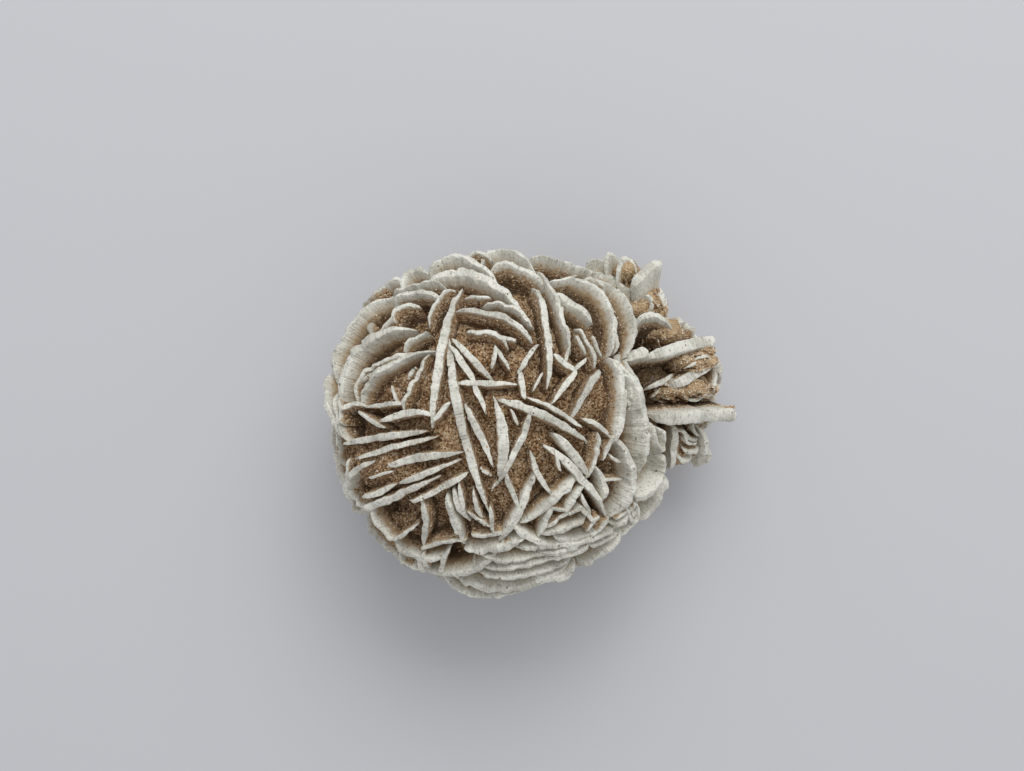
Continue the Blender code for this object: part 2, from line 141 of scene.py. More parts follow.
# %% the blades of the ball
BALL_BLADES = [
    # left edge, and the upper left
    (-28.4, 7.6, -25.0, 16.0, -17.6, 22.6, 1.9, 2.0),
    (-22.6, 20.8, -19.2, 23.6, -15.9, 24.9, 1.3, 1.6),
    (-28.4, 9.4, -28.2, 3.9, -24.9, -3.1, 1.0, 1.6),
    (-27.0, 6.2, -26.4, 1.6, -24.9, -2.6, 0.7, 1.5),
    (-26.1, 4.7, -25.6, 2.2, -25.3, 0.3, 0.5, 1.2),
    (-14.2, 16.7, -23.4, 12.0, -26.0, 2.6, 2.0, 2.5),
    (-23.0, 4.1, -20.5, 9.4, -12.7, 12.2, 0.7, 1.2),
    (-22.2, 3.6, -18.9, 9.1, -9.9, 12.4, 1.5, 1.5),
    (-17.4, 20.7, -13.3, 21.9, -9.0, 21.2, 0.9, 1.6),
    (-16.9, 17.6, -16.1, 19.4, -13.2, 20.1, 0.9, 1.2),
    (-17.8, 22.3, -13.4, 23.3, -8.7, 23.8, 1.0, 1.6),
    (-16.0, 23.3, -14.7, 25.4, -11.9, 26.0, 1.2, 2.0),
    (-14.8, 12.6, -13.4, 14.4, -11.3, 15.3, 0.7, 1.4),
    # along the top edge
    (-12.2, 26.0, -6.6, 28.1, 0.5, 24.3, 1.8, 2.2),
    (-12.0, 23.9, -3.9, 24.9, 4.7, 18.9, 1.9, 2.6),
    (-1.9, 19.6, 2.2, 19.6, 5.8, 16.6, 1.0, 1.4),
    (-6.6, 19.0, 0.4, 17.9, 5.9, 13.9, 1.2, 1.2),
    (-4.5, 15.3, -0.8, 15.1, 1.9, 12.9, 0.9, 1.0),
    (-5.8, 22.9, -8.8, 12.6, -10.3, 0.3, 1.6, 1.0),
    (-7.0, 22.6, -9.4, 20.4, -11.0, 16.8, 0.8, 0.8),
    (-2.8, 27.5, 1.6, 29.4, 7.1, 25.4, 1.4, 2.6),
    (-5.4, 28.0, -3.2, 28.7, -0.9, 27.9, 0.9, 1.2),
    (-0.9, 26.6, 3.8, 26.2, 8.5, 23.1, 1.2, 1.4),
    (7.1, 25.8, 10.3, 19.3, 12.1, 12.0, 1.1, 1.8),
    (9.6, 21.9, 12.7, 19.9, 15.7, 17.3, 1.4, 1.8),
    (8.3, 24.6, 17.1, 22.1, 20.1, 12.9, 1.3, 1.7),
    (13.1, 25.1, 21.1, 22.1, 23.4, 12.6, 1.4, 1.8),
    (13.5, 26.6, 20.6, 24.6, 25.6, 18.6, 1.6, 1.6),
    (4.5, 28.2, 10.5, 27.5, 17.0, 25.9, 1.6, 1.8),
    (12.9, 15.8, 15.0, 13.7, 15.9, 10.0, 0.7, 1.2),
    # the crown
    (-7.7, 14.3, -5.3, 0.3, -1.2, -13.6, 1.9, 0.74),
    (-7.5, 13.2, -5.2, 10.0, -3.2, 7.0, 1.2, 0.74),
    (-7.0, 14.1, -4.0, 11.0, -0.6, 7.8, 1.2, 0.74),
    (-6.0, 7.2, -2.0, 7.1, 3.2, 7.0, 1.1, 0.62),
    (-4.9, 3.8, -2.8, -0.4, -0.5, -6.1, 1.2, 0.74),
    (-0.3, 5.0, 1.0, -1.0, 0.5, -7.6, 1.9, 0.87),
    (5.5, 2.7, 3.6, -2.6, 0.3, -9.3, 1.3, 0.74),
    (0.4, 4.5, 8.0, 1.6, 14.8, -2.3, 1.5, 0.74),
    (5.0, 4.9, 9.5, 2.6, 13.8, 0.1, 0.8, 0.62),
    (6.0, 22.9, 8.3, 16.5, 8.5, 6.8, 1.4, 1.12),
    (12.9, 9.3, 11.0, 6.8, 8.9, 3.8, 1.0, 0.74),
    (16.9, 9.4, 15.0, 6.3, 12.3, 1.4, 1.4, 0.87),
    (6.8, 13.2, 5.2, 11.4, 3.6, 8.9, 0.9, 0.62),
    (9.4, 11.6, 11.1, 10.3, 12.9, 8.9, 0.9, 0.62),
    # left of the crown, and the lower left
    (-25.9, 2.0, -24.3, 3.4, -21.5, 3.4, 0.9, 0.74),
    (-21.2, 3.2, -18.0, 3.5, -14.8, 3.7, 0.7, 0.62),
    (-19.0, 0.9, -14.0, 2.3, -10.0, 2.0, 1.1, 0.74),
    (-11.0, 11.6, -13.6, 6.8, -15.1, 2.4, 0.8, 0.62),
    (-25.5, -3.0, -19.0, -1.5, -11.5, -0.6, 1.3, 0.81),
    (-23.6, -5.4, -17.0, -3.3, -9.8, -1.5, 0.9, 0.74),
    (-18.1, -6.3, -11.5, -4.8, -5.3, -4.0, 1.4, 0.87),
    (-20.0, -5.6, -23.3, -7.5, -25.0, -10.8, 1.1, 2.4),
    (-22.4, -11.8, -19.5, -10.6, -16.5, -9.4, 1.0, 0.87),
    (-22.9, -14.4, -16.6, -11.3, -9.3, -8.0, 1.5, 0.99),
    (-15.8, -9.2, -12.0, -7.6, -6.0, -5.3, 1.1, 0.74),
    (-14.1, -12.1, -9.5, -10.2, -4.7, -7.5, 1.1, 0.74),
    (-12.2, -12.0, -11.5, -15.0, -12.0, -19.4, 1.3, 0.99),
    (-17.0, -19.0, -15.0, -17.6, -12.8, -15.9, 0.7, 0.99),
    (-20.6, -13.6, -19.2, -16.6, -17.0, -19.0, 0.8, 1.49),
    # lower middle, and the nested rims of the lower edge
    (-7.9, -10.8, -6.9, -14.4, -5.2, -18.9, 1.4, 2.0),
    (-6.8, -10.0, -5.9, -12.6, -4.3, -14.9, 1.0, 1.4),
    (-3.6, -9.8, -3.1, -12.4, -2.3, -14.3, 0.8, 1.2),
    (-3.7, -17.2, -1.5, -17.5, 1.0, -17.2, 0.7, 1.2),
    (3.0, -15.9, 5.5, -17.8, 8.4, -19.1, 1.3, 2.0),
    (1.7, -7.2, 2.4, -9.8, 3.4, -12.6, 1.0, 1.2),
    (6.4, -7.4, 4.0, -12.5, 0.6, -18.8, 1.6, 1.8),
    (-17.0, -19.0, -13.3, -21.4, -8.2, -21.1, 1.4, 1.6),
    (-12.1, -19.9, -8.9, -19.0, -5.1, -18.4, 0.8, 1.3),
    (-4.9, -19.9, -0.4, -19.6, 4.5, -17.9, 1.4, 2.4),
    (-12.0, -24.1, -5.2, -23.9, 0.5, -20.1, 1.6, 2.0),
    (-9.4, -24.0, -8.7, -21.9, -7.6, -20.0, 0.9, 2.6),
    (-12.8, -21.2, -12.6, -22.7, -11.2, -24.3, 0.9, 2.6),
    (-16.1, -20.6, -14.8, -22.9, -12.0, -23.5, 0.9, 2.4),
    (3.5, -20.1, 11.7, -19.1, 20.7, -17.1, 1.1, 2.0),
    (7.1, -20.6, 10.9, -20.1, 14.8, -18.5, 0.8, 1.6),
    (-2.3, -20.9, 3.0, -21.7, 8.7, -20.8, 0.8, 1.9),
    (8.1, -21.4, 12.3, -20.8, 16.3, -18.7, 0.9, 1.9),
    (-3.8, -22.6, 3.5, -22.9, 14.0, -19.7, 0.9, 2.2),
    (-4.2, -23.2, 3.4, -24.6, 14.3, -21.5, 0.9, 2.2),
    (-7.9, -24.6, 1.1, -26.9, 13.6, -22.6, 1.5, 2.5),
    (-9.7, -24.9, -1.8, -28.4, 8.4, -24.8, 1.3, 1.6),
    (6.3, -25.0, 10.4, -24.9, 13.2, -22.9, 1.2, 1.6),
    (14.2, -23.3, 17.7, -21.3, 21.1, -17.7, 1.2, 2.4),
    (15.4, -19.5, 17.9, -19.1, 20.5, -17.7, 0.9, 2.6),
    # lower right
    (5.5, -3.8, 6.6, -7.3, 9.1, -10.9, 1.0, 1.2),
    (9.3, -1.0, 12.0, -3.9, 15.0, -7.8, 1.5, 1.8),
    (8.0, -3.0, 13.6, -7.8, 18.6, -15.6, 1.4, 1.8),
    (13.9, 1.4, 16.2, 0.5, 18.4, -1.6, 0.8, 1.0),
    (18.9, 11.4, 20.4, 5.4, 19.0, -2.9, 1.2, 1.6),
    (16.4, -1.0, 16.1, -4.0, 14.9, -7.8, 0.8, 1.2),
    (12.9, -8.0, 9.3, -11.4, 4.3, -15.4, 1.3, 1.6),
    (14.3, -9.3, 12.4, -11.2, 11.2, -13.5, 1.0, 1.4),
    (6.9, -17.4, 7.9, -14.8, 9.0, -12.8, 0.9, 1.6),
    (7.2, -17.4, 11.0, -16.6, 14.6, -14.8, 1.1, 1.8),
    (12.6, -14.0, 14.0, -13.2, 15.9, -15.4, 0.8, 1.8),
    (15.9, -6.2, 17.3, -9.0, 17.4, -12.1, 1.1, 2.6),
    (9.6, -18.0, 14.0, -18.4, 18.2, -16.0, 1.2, 2.6),
    (19.4, -16.4, 21.4, -15.2, 22.8, -12.8, 0.9, 2.4),
    (20.4, -18.4, 22.6, -16.6, 24.0, -13.4, 1.0, 2.4),
    # the large petals of the right edge
    (19.8, 11.3, 24.0, 3.2, 24.5, -7.6, 2.2, 4.2),
    (20.4, 8.3, 21.9, 7.0, 22.3, 4.9, 0.8, 1.8),
    (20.7, 4.5, 21.3, 4.0, 21.5, 3.2, 0.5, 1.2),
    (26.0, 0.5, 26.4, -2.2, 27.8, -4.6, 0.8, 2.4),
    (27.3, -0.3, 28.0, -2.5, 27.6, -4.6, 0.7, 2.2),
    (19.2, -1.5, 22.3, -8.3, 19.4, -15.4, 1.5, 3.4),
    (27.1, -4.0, 27.6, -8.8, 22.2, -12.9, 2.4, 4.4),
    (29.0, -8.4, 27.3, -12.4, 22.9, -16.6, 1.7, 3.0),
    (23.2, -11.4, 23.1, -13.6, 22.6, -15.6, 0.5, 2.0),
    (21.1, -13.0, 22.2, -15.0, 23.4, -16.6, 0.6, 2.4),
]
print(len(BALL_BLADES), "blades read on the ball")

# %% [markdown]
# Between the large blades stand small flakes, a few millimetres long. They are too fine for
# the CAD solid, but without them the gaps would look empty. A row holds both ends of the
# flake, seen from above, and its thickness.

# %% small flakes on the ball
BALL_FLAKES = [
    (-23.3, 20.0, -18.6, 23.9, 0.7),
    (-22.0, 7.3, -17.6, 9.6, 0.5),
    (-4.8, 20.9, -1.1, 20.8, 0.7),
    (-0.6, 14.9, 3.0, 13.9, 0.7),
    (-0.9, -12.8, -0.4, -17.0, 0.8),
    (-3.4, 7.2, -1.6, 2.4, 0.9),
    (14.3, 11.0, 12.6, 9.2, 0.7),
    (3.8, 9.3, 4.7, 4.8, 1.0),
    (7.3, 8.5, 6.0, 6.0, 0.5),
    (-0.2, 12.9, -0.6, 9.6, 0.7),
    (-0.1, 12.9, 2.1, 9.5, 0.6),
    (11.6, 12.6, 11.2, 10.4, 0.6),
    (-22.4, 2.4, -18.2, 0.0, 0.8),
    (-10.2, 0.8, -7.4, 3.9, 0.9),
    (-14.0, 8.0, -13.0, 9.4, 0.5),
    (-24.4, -5.6, -24.6, -8.6, 0.6),
    (-5.9, -9.0, -5.4, -13.7, 0.8),
    (-4.3, -13.6, -0.8, -15.9, 0.6),
    (1.3, -19.0, 4.2, -18.1, 0.6),
    (-0.5, -9.7, 0.1, -8.7, 0.5),
    (-2.2, -6.5, -1.0, -7.4, 0.5),
    (18.9, -1.5, 17.4, -5.1, 1.0),
    (9.0, -12.8, 11.1, -13.3, 0.6),
    (7.8, -16.1, 12.6, -13.4, 0.7),
    (13.9, -10.8, 15.3, -14.0, 0.7),
    (17.2, -8.6, 20.4, -8.6, 0.5),
    (-11.8, -20.5, -11.2, -23.6, 0.9),
    (18.4, -4.4, 20.0, -5.6, 0.5),
    (22.8, -12.6, 22.6, -15.4, 0.6),
    (21.6, -13.8, 19.9, -15.2, 0.6),
    (-16.5, -21.6, -13.4, -23.6, 0.8),
    (15.2, 24.6, 18.4, 23.2, 0.7),
    (21.0, 10.6, 22.8, 7.4, 0.7),
    (14.8, -16.6, 16.4, -14.6, 0.7),
    (16.6, -17.0, 18.2, -15.0, 0.7),
    (13.0, 14.6, 14.4, 12.0, 0.6),
    (15.6, 14.4, 17.0, 11.6, 0.6),
    (-16.6, 6.4, -15.8, 3.9, 0.5),
    (-20.4, -8.2, -16.8, -7.2, 0.6),
    (2.4, 2.8, 3.4, 0.6, 0.5),
    (9.4, -3.8, 10.4, -6.8, 0.6),
]
print(len(BALL_FLAKES), "flakes on the ball")

# %% [markdown]
# The side cluster has its own centre, lower than the ball's, and its largest blades stand
# out almost level. They are given in full: the rim's start, middle and end with their
# heights, the thickness, the clean depth, and whether the far end is blunt.

# %% the blades of the side cluster
SIDE_BLADES = [
    (18.7, 11.1, 10.4, 21.8, 11.4, 9.8, 25.0, 12.4, 9.0, 1.8, 2.4, True),
    (24.3, 11.3, 8.9, 30.4, 13.0, 5.8, 36.9, 14.4, 1.6, 1.9, 2.4, True),
    (24.9, 1.0, 8.0, 32.7, 1.2, 5.0, 40.9, 1.4, 1.0, 2.1, 3.0, True),
    (28.6, 6.2, 4.4, 33.0, 8.3, 4.6, 37.0, 10.7, 1.8, 1.5, 1.4, True),
    (24.8, 5.8, 5.0, 27.4, 7.0, 4.9, 29.8, 8.5, 3.6, 0.9, 1.0, False),
    (30.2, 5.7, 3.4, 33.6, 5.3, 3.2, 36.8, 4.5, 1.0, 0.8, 0.8, False),
    (22.6, 23.8, 1.5, 25.2, 26.2, 1.0, 27.9, 28.0, -0.6, 1.9, 4.6, True),
    (20.2, 25.2, 0.5, 21.8, 28.6, -0.3, 24.1, 26.0, -1.0, 1.1, 1.8, False),
    (14.8, 27.2, -1.0, 16.9, 28.2, -1.5, 19.0, 27.4, -1.5, 1.0, 3.0, False),
    (18.5, 26.0, -0.5, 19.0, 28.9, -1.0, 20.7, 28.2, -1.2, 0.9, 3.0, False),
    (22.8, 17.0, 7.0, 26.8, 18.3, 4.6, 30.4, 15.4, 1.2, 1.3, 1.6, False),
    (29.0, 16.8, 0.6, 30.1, 15.2, 0.2, 30.9, 13.6, -0.5, 0.9, 1.4, False),
    (27.4, 23.9, -2.0, 28.7, 21.0, -2.2, 29.2, 18.0, -3.0, 1.3, 3.4, False),
    (29.8, -0.4, 3.6, 30.2, -4.0, 2.4, 29.3, -8.8, -0.8, 1.8, 3.0, False),
    (34.0, -0.2, 1.0, 35.8, -3.4, -0.6, 35.2, -6.0, -2.6, 1.0, 2.6, False),
    (30.6, -5.0, -1.0, 32.4, -6.7, -1.4, 33.8, -5.2, -2.4, 0.9, 1.8, False),
    (34.0, -5.0, -5.0, 37.1, -5.4, -5.6, 35.4, -8.0, -6.4, 1.3, 5.0, False),
    # small flakes in and around the cluster
    (26.0, 4.8, 4.2, 26.8, 5.6, 4.2, 27.6, 6.2, 3.6, 0.5, 0.6, False),
    (31.8, 6.4, 4.0, 33.0, 6.2, 4.0, 34.4, 6.6, 3.0, 0.5, 0.6, False),
    (32.0, 4.6, 3.4, 33.6, 4.4, 3.2, 35.0, 4.8, 2.2, 0.5, 0.6, False),
    (30.4, 7.2, 4.2, 32.4, 6.8, 4.0, 35.2, 7.6, 2.8, 0.5, 0.4, False),
    (33.2, 11.0, 4.8, 34.6, 11.6, 4.4, 36.0, 11.4, 3.0, 0.5, 0.6, False),
    (31.8, 9.8, 5.2, 33.2, 10.6, 5.0, 34.6, 10.6, 4.0, 0.5, 0.6, False),
    (35.8, 5.0, 2.0, 37.0, 6.6, 1.4, 37.3, 9.4, 0.4, 0.9, 1.0, False),
    (25.2, 22.2, 0.4, 26.4, 21.2, 0.2, 26.0, 19.6, -0.2, 0.8, 2.0, False),
    (32.0, -1.2, 1.0, 32.8, -2.4, 0.8, 34.2, -2.6, 0.0, 0.5, 1.0, False),
    (31.6, -2.6, 0.8, 32.6, -3.6, 0.6, 34.4, -3.4, -0.6, 0.5, 1.0, False),
    (31.8, -4.2, 0.0, 32.8, -4.8, -0.2, 34.4, -4.4, -1.2, 0.5, 1.0, False),
    (30.6, -1.0, 1.8, 31.8, -1.6, 1.4, 32.2, -3.0, 0.6, 0.6, 1.0, False),
    (33.2, 0.0, 1.2, 33.6, -1.4, 0.8, 34.8, -2.0, 0.0, 0.5, 1.0, False),
]
print(len(SIDE_BLADES), "blades and flakes on the side cluster")

# %% [markdown]
# ## The lower sides
#
# The blades at the rose's waist and under it are spread by a turn of the golden angle from
# one to the next, which covers a round body evenly without lining up. Each rim lies on the
# body in a direction of its own. The rims of the waist lie nearly level, nested like the ones
# above them. The numbers come from a seeded generator. The two sets of large blades lower
# down are the ones in the CAD solid; the waist and the small blades are finer than it.

# %% rims for the lower sides
GOLDEN_TURN = math.pi * (3.0 - math.sqrt(5.0))


TOWARDS_SIDE = (26.0, 7.0, 0.0)  # from the ball to the side cluster
TOWARDS_BALL = (-26.0, -4.0, 0.0)  # and back
LARGE = (1.0, 1.7)  # mm, the thickness of the large blades lower down
HIDDEN = 0.62  # cosine: a rim that faces its neighbour more squarely than this is left out
STRAY = 0.2  # radians either way from the golden turn
BEND = 0.10  # how far a rim's ends stray from a straight line, as a share of the radius
SUNK_SHARE = 0.4  # this share of the rims lies deeper in the body
SUNK = 0.95  # of the full radius


def lower_rims(seed, centre, radii, count, heights, length, away, thickness, hidden=HIDDEN,
               tilts=(0.0, math.pi)):
    """Rims spread over the lower part of one body: three points and a thickness each."""
    rng = random.Random(seed)
    made = []
    for i in range(count):
        z = heights[0] + (heights[1] - heights[0]) * (i + 0.5) / count
        angle = i * GOLDEN_TURN + rng.uniform(-STRAY, STRAY)
        tilt = rng.uniform(*tilts)
        reach = 0.5 * rng.uniform(*length)
        bends = (rng.uniform(-BEND, BEND), 0.0, rng.uniform(-BEND, BEND))
        thick = rng.uniform(*thickness)
        shrink = 1.0 if rng.random() < 1.0 - SUNK_SHARE else SUNK
        out = np.array((math.cos(angle), math.sin(angle), 0.0))
        if out @ unit(np.array(away)) > hidden:
            continue
        rise = z / radii[2]
        middle = out * math.sqrt(max(0.05, 1.0 - rise * rise)) + np.array((0.0, 0.0, rise))
        side = np.cross((0.0, 0.0, 1.0), out)
        line = math.cos(tilt) * side + math.sin(tilt) * np.cross(side, middle)
        rim = []
        for s, bend in zip((-1.0, 0.0, 1.0), bends):
            spread = middle + line * s * reach / radii[0] + np.cross(line, middle) * bend
            rim.append(np.array(centre) + shrink * unit(spread) * np.array(radii))
        made.append((rim, thick))
    return made


BALL_LOW = lower_rims(3, (0.0, 0.0, 0.0), (28.3, 28.3, 25.5), 72, (0.0, -20.5),
                      (9.0, 15.0), TOWARDS_SIDE, LARGE)
SIDE_LOW = lower_rims(4, SIDE_CENTRE, (13.6, 13.0, 12.6), 30, (2.0, -11.0),
                      (6.0, 11.0), TOWARDS_BALL, LARGE)
BALL_LOW_SMALL = lower_rims(5, (0.0, 0.0, 0.0), (27.7, 27.7, 24.9), 112, (1.0, -21.5),
                            (4.5, 11.0), TOWARDS_SIDE, (0.7, 1.3), hidden=0.90)
SIDE_LOW_SMALL = lower_rims(6, SIDE_CENTRE, (13.1, 12.6, 12.2), 52, (2.5, -11.6),
                            (3.0, 7.0), TOWARDS_BALL, (0.6, 1.1), hidden=0.75)
BALL_WAIST = lower_rims(7, (0.0, 0.0, 0.0), (28.1, 28.1, 25.3), 48, (9.5, -5.0),
                        (9.0, 15.0), TOWARDS_SIDE, LARGE, hidden=0.90, tilts=(-0.40, 0.40))
for title, rims in (("waist", BALL_WAIST), ("ball, large", BALL_LOW),
                    ("ball, small", BALL_LOW_SMALL), ("side, large", SIDE_LOW),
                    ("side, small", SIDE_LOW_SMALL)):
    print(title, len(rims), "rims")

# %% [markdown]
# The lumps of sand around the side cluster are full of broken flakes. They are spread in the
# same way, a ring of them over the upper part of each lump.

# %% broken flakes on the lumps
LUMPS = [
    # seed, middle, radii, number of flakes
    (21, (31.2, 6.0, -0.3), (6.4, 2.4, 5.7), 44),
    (22, (32.9, 10.7, 0.5), (4.2, 2.0, 5.0), 24),
    (23, (22.2, 25.8, -3.2), (2.3, 2.6, 2.7), 14),
    (24, (25.0, 20.4, -4.4), (4.1, 5.0, 4.7), 46),
    (25, (26.9, 15.5, -1.7), (4.2, 2.6, 4.6), 20),
    (26, (31.4, -2.6, -5.0), (3.9, 4.1, 4.8), 34),
]
LUMP_TOP, LUMP_LOW = 0.86, -0.3  # where the ring of flakes starts and ends, over the half height
LUMP_FLAKES = [
    made
    for seed, middle, radii, count in LUMPS
    for made in lower_rims(seed, middle, radii, count, (LUMP_TOP * radii[2], LUMP_LOW * radii[2]),
                           (1.6, 4.2), (0.0, 0.0, 1.0), (0.35, 0.75))
]
print(len(LUMP_FLAKES), "flakes on the lumps")

# %% [markdown]
# ## One blade
#
# A gypsum blade is a thin lens. Its rim is blunt and chalky, its faces are ribbed, and it
# tapers to both tips. It could be a stretched cube, but then the rounded rim would need many
# cuts. Here it starts as a flat grid that is wrapped over the rim like a folded sheet of
# paper: the grid's X runs along the rim, and its Y runs up one face, over the rim and down
# the other face. The two lower edges meet inside the rose, where they are merged.

# %% the dome and the curve of a rim
LOWEST_RIM = -1.5  # mm: rims outside the ball stay at this height
CROWN_DIVE = 1.0  # mm that a long blade sinks at its tips, on top of the rose
OUTER_DIVE = 2.4  # the same at the outline, where the tips show
LONG_BLADE = 12.0  # mm: shorter blades sink less
DOME_EDGE = 0.03  # where the dome gives way to a straight slope: 1 - (distance / radius)^2
EDGE_HEIGHT, EDGE_SLOPE = 0.173, 3.2  # the slope's start and steepness, over the ball's height
OUTER_FROM, OUTER_RUN = 22.0, 5.0  # mm from the axis where tips begin to sink more, and are done
TIP_FROM = 0.55  # share of half the rim after which it sinks


def dome_height(x, y):
    """Height of the ball's rims over points of its plan."""
    inside = 1.0 - (x * x + y * y) / BALL_RADIUS**2
    slope = BALL_HEIGHT * (EDGE_HEIGHT + EDGE_SLOPE * (inside - DOME_EDGE))
    dome = BALL_HEIGHT * np.sqrt(np.maximum(inside, DOME_EDGE))
    return np.where(inside > DOME_EDGE, dome, np.maximum(slope, LOWEST_RIM))


def through(start, middle, end, s):
    """The curve through three points, at s = -1, 0 and 1."""
    s = np.asarray(s)[:, None]
    return 0.5 * s * (s - 1.0) * start + (1.0 - s * s) * middle + 0.5 * s * (s + 1.0) * end


def ball_rim(a, m, b):
    """A rim laid over the dome, from points of its plan."""

    def rim(s):
        plan = through(a, m, b, s)
        return np.column_stack((plan, dome_height(plan[:, 0], plan[:, 1])))

    return rim


def free_rim(a, m, b):
    """A rim through three points in space."""
    return lambda s: through(a, m, b, s)


def tip_dive(s, length, blunt, outward):
    """How far the rim sinks towards the root near its tips, in mm."""
    outer = float(np.clip((outward - OUTER_FROM) / OUTER_RUN, 0.0, 1.0))
    full = (CROWN_DIVE + (OUTER_DIVE - CROWN_DIVE) * outer) * min(1.0, length / LONG_BLADE)
    dive = full * np.clip((np.abs(s) - TIP_FROM) / (1.0 - TIP_FROM), 0.0, 1.0) ** 2
    return np.where(s > 0.0, 0.0, dive) if blunt else dive


# %% the section of a blade, from the rim's crest down to its foot
CREST_SIDE = (0.0, 0.45, 0.80, 0.95, 1.0)  # shares of the half thickness
CREST_DOWN = (0.0, 0.01, 0.05, 0.16, 0.36)  # the same
FACE_DOWN = (0.75, 1.15, 1.6, 2.1, 2.7, 3.4, 4.3, 5.6, 9.0)  # mm below the crest
HALF_LINES = len(CREST_SIDE) + len(FACE_DOWN) - 1
WIDENS = 0.02  # a face stands out by this share of the half thickness for each mm down
SPLAYS = 0.01  # and by this many mm for each mm down


def section(k, side, half, lean):
    """How far the k-th line from the crest lies below it and out from the middle, in mm."""
    cap = k < len(CREST_SIDE)
    on_cap = np.minimum(k, len(CREST_SIDE) - 1)
    on_face = np.clip(k - len(CREST_SIDE), 0, len(FACE_DOWN) - 1)
    down = np.where(cap, np.array(CREST_DOWN)[on_cap] * half, np.array(FACE_DOWN)[on_face])
    down = np.maximum(down, np.where(cap, 0.0, 0.55 * half + 0.08))
    out = np.where(cap, np.array(CREST_SIDE)[on_cap], 1.0) * half
    out = np.where(cap, out, half * (1.0 + WIDENS * down) + SPLAYS * down)
    out = np.where(k == HALF_LINES, 0.0, out)
    return down + np.where(cap, lean * side * out, 0.0), out


print("each blade has", 2 * HALF_LINES + 1, "lines from foot to foot")

# %% the thickness of a blade along its rim
SLIM = 0.82  # the rim's crest is a little narrower than the rim seen with its shoulders
TIP_TAPER = 2.6  # power of the taper to a thin tip; a higher one keeps the blade full for longer
BLUNT_TAPER = 4  # the same for the near end of a blade with a blunt far end
THICKEST_SHIFT = 0.22  # how far the thickest place may lie off the middle, over half the rim
LEAST_HALF = 0.05  # mm of half thickness that is left at the very tip
UNEVEN = ((0.15, 2.4, 3.0), (0.13, 0.7, 9.0))  # share of the thickness, size in mm, shift
BLUNT_UNEVEN = ((0.10, 1.9, 3.0), (0.06, 0.7, 9.0))


def half_thickness(t, mm_along, length, thickness, strip, blunt, seed):
    """Half the thickness along the rim, in mm, and the share lost to the taper."""
    shifted = t + THICKEST_SHIFT * math.sin(seed * 1.9) * (1.0 - t * t)
    if blunt:
        rounding = 0.5 * thickness
        cap_run = np.clip((mm_along - length + rounding) / rounding, 0.0, 1.0)
        near_end = np.abs(shifted) ** BLUNT_TAPER
        taper = np.where(t > 0.0, 1.0 - np.sqrt(1.0 - cap_run**2), near_end)
        uneven = 1.0 + rough(strip, BLUNT_UNEVEN)
        full = 0.5 * thickness
    else:
        taper = np.abs(shifted) ** TIP_TAPER
        uneven = 1.0 + rough(strip, UNEVEN)
        full = 0.5 * thickness * SLIM
    return (full * (1.0 - taper) ** 0.9 + LEAST_HALF) * uneven, taper


print("a blade keeps", 2.0 * LEAST_HALF, "mm at its tips")

# %% wrap a grid over a rim
RIM_STEP = 0.24  # mm from one rib point to the next along a rim
TIP_REACH = 0.35  # mm that each thin tip runs on into its neighbour
LEAN = 0.30  # how far a crest may lean, as mm down for each mm out
RIB_WIDTH, RIB_LENGTH, RIB_HEIGHT = 0.55, 4.0, 0.075  # mm
RAGGED = ((0.24, 2.6, 1.0), (0.22, 1.0, 2.0))  # mm up and down along the crest, size, shift
CHIP_HEIGHT, CHIP_LENGTH = 0.16, 0.9  # mm
NOTCH_DEPTH = 0.7  # mm, times how far the field rises above NOTCH_FROM
NOTCH_FROM = 0.40
SWAY = ((0.30, 5.0, 6.0), (0.12, 1.7, 7.0))  # mm that the rim wanders to either side
FADE = 2.2  # mm below the crest over which its raggedness dies away


def ragged_crest(strip, mm_along, side, seed):
    """How far the crest dips or rises, in mm: waves, chips and a few deep notches."""
    chips = np.column_stack((mm_along / CHIP_LENGTH, side * 0.6, np.full(len(side), seed * 1.7)))
    notches = np.maximum(0.0, field(strip, 1.3, 8.0) - NOTCH_FROM)
    return rough(strip, RAGGED) + CHIP_HEIGHT * field(chips, 1.0, 4.0) + NOTCH_DEPTH * notches


